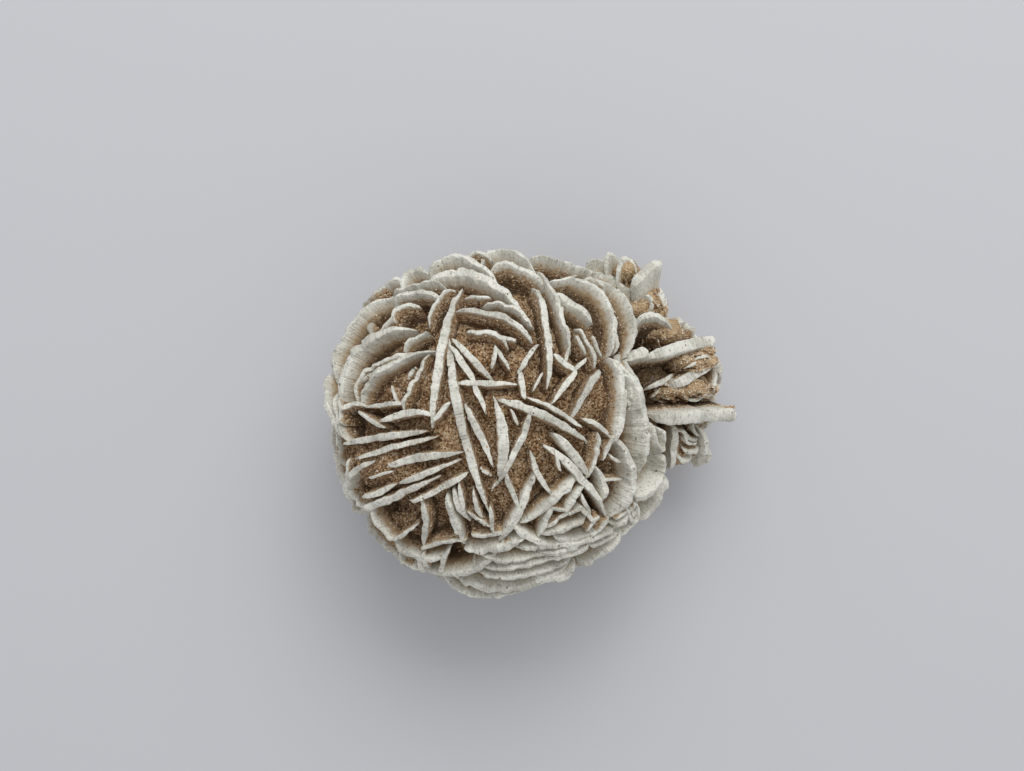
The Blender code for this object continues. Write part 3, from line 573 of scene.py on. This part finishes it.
def add_blade(bm, layer, rim, root, thickness, clean, blunt=False, lump=1.0, seed=0):
    """Adds one blade to bm and writes (mm along, mm down, clean depth) on its points."""
    coarse = rim(np.linspace(-1.0, 1.0, 17))
    length = np.linalg.norm(np.diff(coarse, axis=0), axis=1).sum()
    steps = max(8, int(length / RIM_STEP))
    made = bmesh.ops.create_grid(
        bm, x_segments=steps, y_segments=2 * HALF_LINES, size=1.0
    )["verts"]
    flat = np.array([v.co[:2] for v in made])
    s = flat[:, 0] * (1.0 if blunt else 1.0 + 2.0 * TIP_REACH / length)
    line = np.rint(flat[:, 1] * HALF_LINES).astype(int)
    side = np.sign(line)
    k = np.abs(line)
    # the directions along the rim, into the rose and across the blade
    crest = rim(s)
    ahead, behind = rim(np.minimum(1.0, s + 0.04)), rim(np.maximum(-1.0, s - 0.04))
    along = unit(ahead - behind)
    inward = unit(root - crest)
    across = unit(np.cross(along, inward))
    mm_along = 0.5 * (s + 1.0) * length
    strip = np.column_stack((mm_along, np.full(len(s), seed * 7.31), np.zeros(len(s))))
    half, taper = half_thickness(flat[:, 0], mm_along, length, thickness, strip, blunt, seed)
    down, out = section(k, side, half, LEAN * math.sin(seed * 2.4))
    # ribs run down the faces, and the raggedness of the crest fades below it
    ribs = np.column_stack((mm_along / RIB_WIDTH, down / RIB_LENGTH, seed * 3.7 + side * 5.1))
    out = out + np.where(k < HALF_LINES, RIB_HEIGHT * lump * field(ribs, 1.0, 5.0), 0.0)
    fade = np.exp(-down / FADE)
    outward = float(np.linalg.norm(coarse[8, :2]))
    dip = ragged_crest(strip, mm_along, side, seed) * fade * lump
    dip = down + dip + tip_dive(flat[:, 0], length, blunt, outward)
    sway = rough(strip, SWAY) * (1.0 - taper) * fade
    place = crest + inward * dip[:, None] + across * (side * out + sway)[:, None]
    for v, spot, a, d in zip(made, to_frame(place), mm_along, down):
        v.co = spot
        v[layer] = (a, d, clean)


print("blade maker ready")

# %% [markdown]
# ## Joining the points, and the flat foot
#
# A blade's two lower edges lie in nearly the same places, so merging by distance joins almost
# all of their points. The tips are not closed: each is left open by one or two tenths of a
# millimetre. Blades that reach below the foot are cut off level, because the rose is taken to
# be worn flat where it rests. The cut leaves an open edge, which is filled, except on about
# ten blades whose open tip runs into it. The faces are then made to agree and to point
# outward, but on a few dozen small blades, most of them lower down, they point inward.

# %% finish a mesh
TOUCHING = 2e-6  # metres: closer than this, two points are one
CRISP = math.radians(38.0)  # faces that meet at more than this show an edge
ON_PLANE = 1e-7  # metres: closer to the foot than this, a point lies on it
FOOT_HEIGHT = ROSE_LOW[2]


def wear_flat(bm):
    """Cuts off all that lies below the foot, and closes the cut."""
    everything = bm.verts[:] + bm.edges[:] + bm.faces[:]
    cut = bmesh.ops.bisect_plane(
        bm, geom=everything, dist=ON_PLANE, plane_co=(0.0, 0.0, FOOT_HEIGHT),
        plane_no=(0.0, 0.0, -1.0), clear_outer=True,
    )["geom_cut"]
    edges = [e for e in cut if isinstance(e, bmesh.types.BMEdge) and e.is_boundary]
    if edges:
        bmesh.ops.holes_fill(bm, edges=edges, sides=0)


def finish_mesh(bm, name, material):
    """Merges, cuts level, makes the faces agree and links the piece to the scene."""
    bmesh.ops.remove_doubles(bm, verts=bm.verts, dist=TOUCHING)
    wear_flat(bm)
    bmesh.ops.triangulate(bm, faces=[f for f in bm.faces if len(f.verts) > 4])
    bmesh.ops.recalc_face_normals(bm, faces=bm.faces)
    mesh = bpy.data.meshes.new(name)
    bm.to_mesh(mesh)
    bm.free()
    mesh.polygons.foreach_set("use_smooth", np.full(len(mesh.polygons), True))
    mesh.set_sharp_from_angle(angle=CRISP)
    mesh.materials.append(material)
    piece = bpy.data.objects.new(name, mesh)
    bpy.context.scene.collection.objects.link(piece)
    keep_piece(piece)
    print(name, len(mesh.vertices), "points", len(mesh.polygons), "faces")


def keep_piece(piece):
    """Says what the piece is to the frame: part of the one body, in place of its solid."""
    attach(piece, "root")
    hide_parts("sand_rose")


# %% [markdown]
# ## Colours
#
# Gypsum that has dried in the open is chalk white, a little grey where it is worn. Dune sand
# is quartz with a skin of iron oxide, so it is tan, with darker and paler grains among it.
# The colours are written as on a paint chart and turned to linear light by one function.

# %% colour and node helpers
CHALK = "EEEDE1"
WORN_GREY = "CCCABD"
PITTED_GREY = "A5A196"
# painted shade: the duller colour of a blade's faces below the rim
FACE_SHADE = "C8BBA2"
STAIN = "AE926C"
# painted shade: the deep brown of hollows far down between the blades
SHADE_BROWN = "4F3B27"
CREAM = "E2D8C6"
SPECK = "7A6E60"
SAND_DARK = "6C5135"
SAND_BROWN = "977553"
SAND_TAN = "BC9B77"
SAND_PALE = "D8BE97"
SAND_WHITE = "E6DAC6"
PAPER = "CFD0D3"


def linear(code):
    """An sRGB code such as EDEBE2 as linear red, green, blue and alpha."""
    parts = [int(code[k : k + 2], 16) / 255.0 for k in (0, 2, 4)]
    parts = [c / 12.92 if c <= 0.04045 else ((c + 0.055) / 1.055) ** 2.4 for c in parts]
    return (*parts, 1.0)


def add(tree, kind, links=(), values=(), **settings):
    """Adds a node. links are (input, socket) pairs, and values are (input, value) pairs."""
    made = tree.nodes.new(kind)
    for name, value in settings.items():
        setattr(made, name, value)
    for key, value in values:
        made.inputs[key].default_value = value
    for key, socket in links:
        tree.links.new(socket, made.inputs[key])
    return made


def new_material(name, roughness):
    made = bpy.data.materials.new(name)
    made.use_nodes = True
    shader = made.node_tree.nodes["Principled BSDF"]
    shader.inputs["Roughness"].default_value = roughness
    shader.inputs["Specular IOR Level"].default_value = 0.3
    return made, made.node_tree, shader


def ramp(tree, socket, stops):
    """A colour ramp with (place, colour code) stops."""
    made = add(tree, "ShaderNodeValToRGB", links=[("Fac", socket)])
    while len(made.color_ramp.elements) < len(stops):
        made.color_ramp.elements.new(0.5)
    for element, (place, code) in zip(made.color_ramp.elements, stops):
        element.position = place
        element.color = linear(code)
    return made.outputs["Color"]


def blend_colours(tree, factor, low, high):
    """Mixes two colours; each is a socket or a colour code."""
    mix = add(tree, "ShaderNodeMix", links=[(0, factor)], data_type="RGBA")
    for key, colour in ((6, low), (7, high)):
        if isinstance(colour, str):
            mix.inputs[key].default_value = linear(colour)
        else:
            tree.links.new(colour, mix.inputs[key])
    return mix.outputs[2]


def between(tree, socket, low, high, most):
    """0 below low, rising smoothly to most at high."""
    return add(tree, "ShaderNodeMapRange", links=[(0, socket)], interpolation_type="SMOOTHSTEP",
               values=[(1, low), (2, high), (3, 0.0), (4, most)]).outputs[0]


def reckon(tree, operation, first, second):
    """Arithmetic on two sockets."""
    return add(tree, "ShaderNodeMath", operation=operation,
               links=[(0, first), (1, second)]).outputs[0]


def both(tree, first, second):
    """The product of two factors."""
    return reckon(tree, "MULTIPLY", first, second)


def per_mm(millimetres):
    """A texture scale whose pattern repeats at this size, on coordinates in metres."""
    return 1.0 / (millimetres * MM)


def clouds(tree, where, millimetres, detail):
    """A soft random pattern with clouds of this size."""
    return add(tree, "ShaderNodeTexNoise", links=[("Vector", where)],
               values=[("Scale", per_mm(millimetres)), ("Detail", detail)]).outputs["Fac"]


def lines(tree, petal, per_mm_along, per_mm_down):
    """A random pattern drawn out down a blade's face."""
    place = add(tree, "ShaderNodeMapping", links=[(0, petal)],
                values=[("Scale", (per_mm_along, per_mm_down, 0.0))]).outputs[0]
    return add(tree, "ShaderNodeTexNoise", links=[("Vector", place)],
               values=[("Scale", 1.0), ("Detail", 3.0)]).outputs["Fac"]


def relief(tree, height, strength, millimetres, below=None, invert=False):
    """A bump of this height, on top of the one below it."""
    links = [("Height", height)] + ([("Normal", below)] if below else [])
    return add(tree, "ShaderNodeBump", links=links, invert=invert,
               values=[("Strength", strength), ("Distance", millimetres * MM)]).outputs[0]


print("chalk is", [round(c, 3) for c in linear(CHALK)])

# %% [markdown]
# ## Gypsum
#
# The rims are bare gypsum: chalky, faintly patchy, with dark specks. Down its faces a blade
# is ribbed, and from its clean depth on it is coated with sand. Painted shade makes the faces
# duller than the rim and turns them deep brown far down, in the hollows. The depth and the
# distance along the rim come from the points of the blade itself, written when it was wrapped,
# so the ribs run down every face whichever way it stands.

# %% sand grains as cells
GRAIN_MM = 0.30
SAND_STOPS = [(0.0, SAND_DARK), (0.18, SAND_BROWN), (0.46, SAND_TAN),
              (0.76, SAND_PALE), (0.97, SAND_WHITE)]


def grain_cells(tree, where):
    """Cells of the size of a grain: their height, and a random number for each."""
    cells = add(tree, "ShaderNodeTexVoronoi", links=[("Vector", where)],
                values=[("Scale", per_mm(GRAIN_MM)), ("Randomness", 1.0)])
    tint = add(tree, "ShaderNodeSeparateColor", links=[(0, cells.outputs["Color"])]).outputs[0]
    return cells.outputs["Distance"], tint


print(len(SAND_STOPS), "shades of sand")

# %% the gypsum material
def bare_gypsum(tree, where, petal, patches, mottle):
    """Chalk with worn, creamy and pitted places, dark streaks and specks."""
    bare = blend_colours(tree, between(tree, patches, 0.42, 0.66, 0.9), CHALK, WORN_GREY)
    bare = blend_colours(tree, between(tree, mottle, 0.52, 0.70, 0.5), bare, CREAM)
    streaked = both(tree, between(tree, lines(tree, petal, 3.4, 0.7), 0.48, 0.70, 0.80),
                    between(tree, patches, 0.34, 0.60, 1.0))
    bare = blend_colours(tree, streaked, bare, PITTED_GREY)
    pits = clouds(tree, where, 0.45, 2.0)
    bare = blend_colours(tree, between(tree, pits, 0.52, 0.68, 0.60), bare, PITTED_GREY)
    dots = clouds(tree, where, 0.9, 1.0)
    return blend_colours(tree, between(tree, dots, 0.72, 0.76, 0.8), bare, SPECK)


def make_gypsum():
    made, tree, shader = new_material("gypsum_blades", 0.88)
    where = add(tree, "ShaderNodeTexCoord").outputs["Object"]
    petal = add(tree, "ShaderNodeAttribute", attribute_name="petal").outputs["Vector"]
    _, depth, clean = add(tree, "ShaderNodeSeparateXYZ", links=[(0, petal)]).outputs
    patches = clouds(tree, where, 4.0, 2.0)
    mottle = clouds(tree, where, 0.8, 3.0)
    grain_height, grain_tint = grain_cells(tree, where)
    # how many mm past its clean depth a place lies, with a ragged border
    past = reckon(tree, "SUBTRACT", depth, clean)
    past = add(tree, "ShaderNodeMath", operation="MULTIPLY_ADD", links=[(0, mottle), (2, past)],
               values=[(1, 1.6)]).outputs[0]
    # painted shade makes a face duller than its rim; then come a tan stain and the coat of sand
    bare = bare_gypsum(tree, where, petal, patches, mottle)
    face_shade = both(tree, between(tree, depth, 0.3, 1.5, 1.0), between(tree, past, -1.6, 0.2, 0.6))
    bare = blend_colours(tree, face_shade, bare, FACE_SHADE)
    off_crest = reckon(tree, "MAXIMUM", between(tree, depth, 0.08, 0.38, 1.0),
                       between(tree, past, 0.75, 1.0, 1.0))
    stain = both(tree, between(tree, past, 0.1, 1.1, 0.85), off_crest)
    stained = blend_colours(tree, stain, bare, STAIN)
    # the large washed blades have places where no sand sticks
    washed = both(tree, between(tree, clouds(tree, where, 9.0, 1.0), 0.46, 0.60, 1.8),
                  between(tree, clean, 1.2, 2.0, 1.0))
    rough_past = reckon(tree, "SUBTRACT", past, washed)
    coat = both(tree, between(tree, rough_past, 0.4, 1.7, 1.0), off_crest)
    colour = blend_colours(tree, coat, stained, ramp(tree, grain_tint, SAND_STOPS))
    # painted shade: far down a face, in the hollows between blades, the colour turns deep brown
    painted_deep_shade = both(tree, between(tree, depth, 1.3, 3.4, 0.78), between(tree, past, 0.2, 2.4, 1.0))
    colour = blend_colours(tree, painted_deep_shade, colour, SHADE_BROWN)
    tree.links.new(colour, shader.inputs["Base Color"])
    # relief: ribs down the face, chalky grit, and grains where the coat is
    ribs = relief(tree, lines(tree, petal, 2.2, 0.16), 0.8, 0.30)
    grit = relief(tree, clouds(tree, where, 0.28, 3.0), 0.7, 0.16, below=ribs)
    grains = relief(tree, both(tree, grain_height, coat), 1.0, 0.22, below=grit, invert=True)
    tree.links.new(grains, shader.inputs["Normal"])
    return made


GYPSUM = make_gypsum()
print("gypsum has", len(GYPSUM.node_tree.nodes), "nodes")

# %% [markdown]
# ## Sand
#
# The packed sand between the blades is the same sand, seen as cells of the size of a grain,
# each with a shade of its own. Loose grains lie on it. They are small rough lumps, and each
# carries one number, its tone, that picks its colour from dark brown to pale quartz. Both
# kinds carry painted shade in the ball's outer gaps, and painted light on the side cluster,
# which makes them paler there.

# %% the packed sand and the loose grains
GAPS_FROM = (12.0, 20.0)  # mm from the ball's axis: painted shade darkens the sand between these
CLUSTER_FROM = (25.0, 27.0)  # and here the painted shade of the gaps ends and the painted light of the cluster starts
GAP_SHADE = 0.32  # how much of the brown painted shade the packed sand takes in the gaps
CLUSTER_LIGHT = 0.55  # and how much painted light, a paler shade, on the cluster


def make_packed_sand():
    made, tree, shader = new_material("packed_sand", 0.95)
    where = add(tree, "ShaderNodeTexCoord").outputs["Object"]
    grain_height, grain_tint = grain_cells(tree, where)
    shade = add(tree, "ShaderNodeMath", operation="MULTIPLY_ADD", values=[(1, 0.7)],
                links=[(0, clouds(tree, where, 3.0, 2.0)), (2, grain_tint)]).outputs[0]
    shade = add(tree, "ShaderNodeMath", operation="SUBTRACT", links=[(0, shade)],
                values=[(1, 0.48)]).outputs[0]
    from_axis = add(tree, "ShaderNodeVectorMath", operation="SUBTRACT", links=[(0, where)],
                    values=[(1, (BALL_CENTRE[0], BALL_CENTRE[1], 0.0))]).outputs[0]
    from_axis = add(tree, "ShaderNodeVectorMath", operation="MULTIPLY", links=[(0, from_axis)],
                    values=[(1, (1.0, 1.0, 0.0))]).outputs[0]
    away = add(tree, "ShaderNodeVectorMath", operation="LENGTH",
               links=[(0, from_axis)]).outputs["Value"]
    gaps, cluster = ([edge * MM for edge in edges] for edges in (GAPS_FROM, CLUSTER_FROM))
    # painted shade: the packed sand turns deep brown in the ball's outer gaps
    painted_deep_shade = reckon(tree, "SUBTRACT", between(tree, away, *gaps, GAP_SHADE),
                  between(tree, away, *cluster, GAP_SHADE))
    colour = blend_colours(tree, painted_deep_shade, ramp(tree, shade, SAND_STOPS), SHADE_BROWN)
    # painted light: the packed sand on the side cluster is paler
    cluster_light = between(tree, away, *cluster, CLUSTER_LIGHT)
    colour = blend_colours(tree, cluster_light, colour, SAND_PALE)
    tree.links.new(colour, shader.inputs["Base Color"])
    bumps = relief(tree, grain_height, 1.0, 0.30, invert=True)
    tree.links.new(bumps, shader.inputs["Normal"])
    return made


def make_grains():
    made, tree, shader = new_material("quartz_sand_grains", 0.75)
    tone = add(tree, "ShaderNodeAttribute", attribute_name="tone").outputs["Fac"]
    tree.links.new(ramp(tree, tone, SAND_STOPS), shader.inputs["Base Color"])
    return made


PACKED_SAND = make_packed_sand()
SAND_GRAINS = make_grains()
print("sand is ready")

# %% [markdown]
# ## Growing the blades
#
# All the blades of one region are wrapped into one bmesh, so that the rose stays a handful of
# pieces. Each point keeps its distance along the rim and below it in a layer called petal.

# %% grow a region's blades
GRAIN_SPOTS = []
SCATTER = np.random.default_rng(12)
COATED_SHARE = 0.10  # share of a face's points that carry a loose grain
STRAY_SHARE = 0.012  # the part of that share that is left on clean gypsum
DEEPEST_GRAIN = 5.0  # mm down the face: no grain clings lower than this
WASHED = 1.3  # mm: a blade that is clean to more than this was washed, and is taken as read
DUSTY = 0.5  # the others are clean over this share of their depth
FLAKE_CLEAN, LOW_CLEAN, BROKEN_CLEAN = 0.5, 1.0, -0.2  # mm, the clean depths of the rest


def grow(name, blades):
    """blades holds (rim, root, thickness, clean depth, blunt, lump) for each one."""
    bm = bmesh.new()
    layer = bm.verts.layers.float_vector.new("petal")
    for i, (rim, root, thick, clean, blunt, lump) in enumerate(blades):
        start = len(bm.verts)
        add_blade(bm, layer, rim, root, thick, clean, blunt, lump, seed=i + len(name))
        bm.verts.ensure_lookup_table()
        fresh = bm.verts[start:]
        spots = np.array([v.co for v in fresh])
        down = np.array([v[layer][1] for v in fresh])
        chance = COATED_SHARE * np.clip((down - 0.6 * clean) / 1.2, STRAY_SHARE, 1.0)
        chance = np.where(down > DEEPEST_GRAIN, 0.0, chance)
        chosen = SCATTER.random(len(spots)) < chance
        GRAIN_SPOTS.append(spots[chosen])
    finish_mesh(bm, name, GYPSUM)


def ball_blade(row):
    a, m, b = (np.array(row[k : k + 2]) for k in (0, 2, 4))
    clean = row[7] if row[7] > WASHED else DUSTY * row[7]
    return (ball_rim(a, m, b), BALL_ROOT, row[6], clean, False, 1.0)


def flake(row):
    a, b = np.array(row[0:2]), np.array(row[2:4])
    return (ball_rim(a, 0.5 * (a + b), b), BALL_ROOT, row[4], FLAKE_CLEAN, False, 0.7)


def side_blade(row):
    a, m, b = (np.array(row[k : k + 3]) for k in (0, 3, 6))
    return (free_rim(a, m, b), SIDE_ROOT, row[9], row[10], row[11], 1.0)


def low_blade(made, root):
    rim, thick = made
    return (free_rim(*rim), root, thick, LOW_CLEAN, False, 1.0)


def broken_flake(made):
    rim, thick = made
    return (free_rim(*rim), SIDE_ROOT, thick, BROKEN_CLEAN, False, 0.6)


half_count = len(BALL_BLADES) // 2
grow("blades_upper_left", [ball_blade(row) for row in BALL_BLADES[:half_count]])
grow("blades_lower_right", [ball_blade(row) for row in BALL_BLADES[half_count:]])
grow("flakes", [flake(row) for row in BALL_FLAKES])
grow("blades_side", [side_blade(row) for row in SIDE_BLADES])
grow("flakes_side", [broken_flake(made) for made in LUMP_FLAKES])
grow("blades_skirt", [low_blade(made, BALL_ROOT) for made in BALL_LOW])
grow("blades_skirt_small", [low_blade(made, BALL_ROOT) for made in BALL_LOW_SMALL])
grow("blades_waist", [low_blade(made, BALL_ROOT) for made in BALL_WAIST])
grow("blades_side_skirt", [low_blade(made, SIDE_CENTRE) for made in SIDE_LOW + SIDE_LOW_SMALL])

# %% [markdown]
# ## The sand between the blades
#
# The sand fills the rose to a few millimetres below the rims. It is a ball with a fine even
# mesh, an icosphere, pushed in and out by the random field at three sizes: humps between
# blades, clumps, and single grains.

# %% the sand bodies
SAND_BODIES = [
    # middle, radii, subdivisions, how far it draws in below the middle
    ((0.0, 0.0, 0.0), (25.0, 25.0, 21.4), 7, 0.07),
    ((1.0, 2.0, 6.0), (14.0, 12.0, 16.0), 6, 0.0),
    ((-14.0, -5.5, 4.5), (10.5, 7.5, 15.2), 6, 0.0),
    ((-13.5, -15.0, 2.0), (6.0, 4.2, 12.6), 5, 0.0),
    ((25.5, 7.0, -8.0), (10.6, 9.8, 8.4), 6, 0.06),
    ((31.2, 5.9, -0.6), (6.4, 2.0, 5.6), 5, 0.0),
    ((32.8, 10.6, 0.3), (4.3, 1.8, 4.8), 5, 0.0),
    ((37.2, 2.9, 0.3), (3.6, 1.0, 1.7), 4, 0.0),
    ((34.6, 12.4, 0.6), (2.2, 1.3, 2.4), 4, 0.0),
    ((22.2, 26.2, -2.9), (1.7, 2.0, 2.2), 4, 0.0),
    ((24.8, 20.2, -4.6), (4.0, 5.0, 4.4), 5, 0.0),
    ((26.9, 15.4, -1.9), (4.0, 2.5, 4.4), 5, 0.0),
    ((31.2, -2.6, -5.2), (3.8, 4.0, 4.4), 5, 0.0),
]


SAND_LUMPS = ((1.15, 3.8, 2.0), (0.40, 1.3, 5.0), (0.20, 0.55, 7.0))  # height, size in mm, shift


def sand_surface(directions, middle, radii, waist):
    """Points of a sand body's surface in the given directions, in millimetres."""
    spots = directions * np.array(radii)
    draw = 1.0 - waist * np.clip(-2.0 * spots[:, 2] / radii[2], 0.0, 1.0)
    spots[:, :2] *= draw[:, None]
    spots = spots + np.array(middle)
    return spots + directions * rough(spots, SAND_LUMPS)[:, None]


def make_sand():
    bm = bmesh.new()
    for middle, radii, detail, waist in SAND_BODIES:
        made = bmesh.ops.create_icosphere(bm, subdivisions=detail, radius=1.0)["verts"]
        directions = np.array([v.co for v in made])
        spots = to_frame(sand_surface(directions, middle, radii, waist))
        for v, spot in zip(made, spots):
            v.co = spot
    finish_mesh(bm, "sand_fill", PACKED_SAND)


make_sand()

# %% [markdown]
# ## Loose grains
#
# Grains lie on the sand and cling to the faces of the blades. One grain is an icosphere of 20
# faces, squashed and turned in a different way each time. There are about 45,000 of them, so
# their points are worked out all at once from the one grain that the operator made; copying
# it by operator once per grain would be slow.

# %% scatter the grains
GRAINS_PER_MM2 = 2.8
GRAIN_SIZES = (0.10, 0.20)  # radius in mm
GRAINS_PER_PIECE = 8000
GRAIN_SQUASH = (0.72, 1.18)
ABOVE_FOOT = 0.35  # mm: grains stay this far up, so that none sticks out under the foot
TONE, TONE_SPREAD = 0.50, 0.36  # along the shades of sand
GAP_SHADE_TONE, CLUSTER_LIGHT_TONE = -0.12, 0.26  # added to a grain's tone there: painted shade in the gaps, painted light on the cluster


def grain_template():
    bm = bmesh.new()
    bmesh.ops.create_icosphere(bm, subdivisions=1, radius=1.0)
    points = np.array([v.co for v in bm.verts])
    faces = np.array([[v.index for v in f.verts] for f in bm.faces])
    bm.free()
    return points, faces


def sand_spots():
    """Random places on the sand bodies, leaving out those inside another body."""
    spots = []
    for middle, radii, detail, waist in SAND_BODIES:
        count = int(GRAINS_PER_MM2 * 4.0 * math.pi * radii[0] * radii[2])
        directions = unit(SCATTER.normal(size=(count, 3)))
        here = sand_surface(directions, middle, radii, waist)
        for other, other_radii, _, _ in SAND_BODIES:
            if other != middle:
                inside = ((here - np.array(other)) / np.array(other_radii)) ** 2
                here = here[inside.sum(axis=1) > 0.9]
        spots.append(to_frame(here))
    return spots


def turns(count):
    """Random turning matrices."""
    first = unit(SCATTER.normal(size=(count, 3)))
    second = unit(np.cross(first, SCATTER.normal(size=(count, 3))))
    return np.stack((first, second, np.cross(first, second)), axis=1)


def run_up(values, start, end):
    """0 up to start, rising evenly to 1 at end."""
    return np.clip((values - start) / (end - start), 0.0, 1.0)


def grain_tones(spots):
    """A tone for each grain, with painted shade in the ball's gaps and painted light on the
    cluster.
    """
    away = np.linalg.norm((spots - BALL_CENTRE)[:, :2], axis=1) / MM
    on_cluster = run_up(away, *CLUSTER_FROM)
    shaded_gap = run_up(away, *GAPS_FROM) * (1.0 - on_cluster)
    # painted shade darkens the grains in the gaps, and painted light makes those on the cluster
    # paler
    tone = SCATTER.normal(TONE, TONE_SPREAD, len(spots))
    return np.clip(tone + GAP_SHADE_TONE * shaded_gap + CLUSTER_LIGHT_TONE * on_cluster, 0.0, 1.0)


def make_grain_pieces():
    points, faces = grain_template()
    spots = np.concatenate(sand_spots() + GRAIN_SPOTS)
    spots = spots[spots[:, 2] > FOOT_HEIGHT + ABOVE_FOOT * MM]
    SCATTER.shuffle(spots)
    for start in range(0, len(spots), GRAINS_PER_PIECE):
        here = spots[start : start + GRAINS_PER_PIECE]
        count = len(here)
        size = SCATTER.uniform(*GRAIN_SIZES, count) * MM
        squash = SCATTER.uniform(*GRAIN_SQUASH, (count, 3)) * size[:, None]
        shaped = points[None] * squash[:, None, :]
        shaped = np.einsum("nij,nkj->nki", turns(count), shaped) + here[:, None, :]
        tone = grain_tones(here)
        add_grain_piece(f"grains_{start // GRAINS_PER_PIECE:02d}", shaped, faces, tone)
    print(len(spots), "grains")


def add_grain_piece(name, shaped, faces, tone):
    count, corners = shaped.shape[:2]
    mesh = bpy.data.meshes.new(name)
    mesh.vertices.add(count * corners)
    mesh.vertices.foreach_set("co", shaped.reshape(-1))
    every = (faces[None] + corners * np.arange(count)[:, None, None]).reshape(-1, 3)
    mesh.loops.add(every.size)
    mesh.loops.foreach_set("vertex_index", every.reshape(-1))
    mesh.polygons.add(len(every))
    mesh.polygons.foreach_set("loop_start", np.arange(0, every.size, 3))
    mesh.update(calc_edges=True)
    layer = mesh.attributes.new("tone", "FLOAT", "POINT")
    layer.data.foreach_set("value", np.repeat(tone, corners))
    mesh.materials.append(SAND_GRAINS)
    piece = bpy.data.objects.new(name, mesh)
    bpy.context.scene.collection.objects.link(piece)
    keep_piece(piece)


make_grain_pieces()

# %% [markdown]
# ## The table, the light and the camera
#
# The rose lies on smooth pale paper. Two wide soft lights stand behind it and to its right,
# high up, and the room adds an even glow, so the shadows are broad and soft. The camera looks
# straight down from 300 mm above the ball's middle.

# %% the paper
PAPER_HALF = 4.0  # metres from its middle to each edge, far out of the camera's view


def make_paper():
    made, tree, shader = new_material("matt_paper", 0.75)
    shader.inputs["Base Color"].default_value = linear(PAPER)
    bm = bmesh.new()
    bmesh.ops.create_grid(bm, x_segments=1, y_segments=1, size=PAPER_HALF)
    bmesh.ops.translate(bm, vec=(0.0, 0.0, FOOT_HEIGHT), verts=bm.verts)
    mesh = bpy.data.meshes.new("paper")
    bm.to_mesh(mesh)
    bm.free()
    mesh.materials.append(made)
    paper = bpy.data.objects.new("paper", mesh)
    bpy.context.scene.collection.objects.link(paper)


make_paper()

# %% the lights
LIGHT_SIZE = 0.45  # metres along each side
LIGHT_AWAY = 0.75  # metres from the frame's origin, which is on the foot
LIGHT_ELEVATION = 50.0  # degrees
ROOM_GLOW = 0.58
ROOM_COLOUR = "F7F8FC"


def add_soft_light(name, azimuth, elevation, power):
    """A square light that faces the rose from the given direction, in degrees."""
    lamp = bpy.data.lights.new(name, "AREA")
    lamp.shape = "SQUARE"
    lamp.size = LIGHT_SIZE
    lamp.energy = power
    holder = bpy.data.objects.new(name, lamp)
    a, e = math.radians(azimuth), math.radians(elevation)
    spot = Vector((math.cos(a) * math.cos(e), math.sin(a) * math.cos(e), math.sin(e)))
    holder.location = spot * LIGHT_AWAY
    holder.rotation_euler = spot.to_track_quat("Z", "Y").to_euler()
    bpy.context.scene.collection.objects.link(holder)


add_soft_light("light_behind", 90.0, LIGHT_ELEVATION, 1.65)
add_soft_light("light_right", 60.0, LIGHT_ELEVATION, 1.05)
world = bpy.data.worlds.new("room")
world.use_nodes = True
world.node_tree.nodes["Background"].inputs[0].default_value = linear(ROOM_COLOUR)
world.node_tree.nodes["Background"].inputs[1].default_value = ROOM_GLOW
bpy.context.scene.world = world
bpy.context.scene.view_settings.view_transform = "Standard"

# %% the camera
CAMERA_ABOVE = 300.0  # mm above the ball's middle
CAMERA_AIM = (2.55, 6.63)  # mm, seen from the ball's middle
VIEW_WIDTH = 174.08  # mm across at the height of the ball's middle
SENSOR = 36.0
lens = bpy.data.cameras.new("camera")
lens.sensor_width = SENSOR
lens.lens = SENSOR * CAMERA_ABOVE / VIEW_WIDTH
lens.clip_start = 0.01
camera = bpy.data.objects.new("camera", lens)
camera.location = to_frame((*CAMERA_AIM, CAMERA_ABOVE))
bpy.context.scene.collection.objects.link(camera)
bpy.context.scene.camera = camera
print("camera at", [round(c, 4) for c in camera.location], "lens", round(lens.lens, 2))
